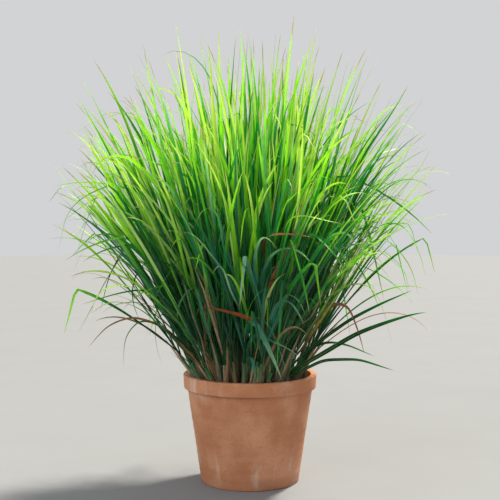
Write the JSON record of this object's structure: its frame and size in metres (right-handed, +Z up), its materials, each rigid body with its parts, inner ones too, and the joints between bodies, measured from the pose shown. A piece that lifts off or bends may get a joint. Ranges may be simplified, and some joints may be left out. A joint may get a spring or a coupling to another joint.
{
  "type": "lemongrass plant in a pot",
  "caption": "Bushy clump of lemongrass, with stalks, arching green blades and a few dry leaves, growing in soil in a plain tapered clay pot",
  "frame": {"origin": "the middle of the pot's flat underside", "axes": "+Z is up; -Y is the side that the plant is seen from; +X is to that viewer's right"},
  "size_m": [1.0919, 1.0663, 1.4173],
  "materials": {
    "clay": "unglazed fired clay, matt",
    "potting_soil": "damp bark and peat, crumbly",
    "stalk_sheath": "smooth leaf sheath, green above and pale or pinkish below",
    "green_blade": "green leaf with a low sheen",
    "dry_blade": "dry straw, matt"
  },
  "bodies": {
    "root": {"pot": "clay", "soil": "potting_soil", "stalk_01": "stalk_sheath", "stalk_02": "stalk_sheath", "stalk_03": "stalk_sheath", "stalk_04": "stalk_sheath", "stalk_05": "stalk_sheath", "stalk_06": "stalk_sheath", "stalk_07": "stalk_sheath", "stalk_08": "stalk_sheath", "stalk_09": "stalk_sheath", "stalk_10": "stalk_sheath", "stalk_11": "stalk_sheath", "stalk_12": "stalk_sheath", "stalk_13": "stalk_sheath", "stalk_14": "stalk_sheath", "stalk_15": "stalk_sheath", "stalk_16": "stalk_sheath", "stalk_17": "stalk_sheath", "stalk_18": "stalk_sheath", "stalk_19": "stalk_sheath", "stalk_20": "stalk_sheath", "stalk_21": "stalk_sheath", "stalk_22": "stalk_sheath", "stalk_23": "stalk_sheath", "stalk_24": "stalk_sheath", "stalk_25": "stalk_sheath", "stalk_26": "stalk_sheath", "leaves_01": "green_blade", "leaves_02": "green_blade", "leaves_03": "green_blade", "leaves_04": "green_blade", "leaves_05": "green_blade", "leaves_06": "green_blade", "leaves_07": "green_blade", "leaves_08": "green_blade", "leaves_09": "green_blade", "leaves_10": "green_blade", "leaves_11": "green_blade", "leaves_12": "green_blade", "leaves_13": "green_blade", "leaves_14": "green_blade", "leaves_15": "green_blade", "leaves_16": "green_blade", "leaves_17": "green_blade", "leaves_18": "green_blade", "leaves_19": "green_blade", "leaves_20": "green_blade", "leaves_21": "green_blade", "leaves_22": "green_blade", "leaves_23": "green_blade", "leaves_24": "green_blade", "leaves_25": "green_blade", "leaves_26": "green_blade", "dry_leaf_1": "dry_blade", "dry_leaf_2": "dry_blade", "dry_leaf_3": "dry_blade", "dry_leaf_4": "dry_blade", "dry_leaf_5": "dry_blade", "dry_leaf_6": "dry_blade"}
  },
  "joints": []
}
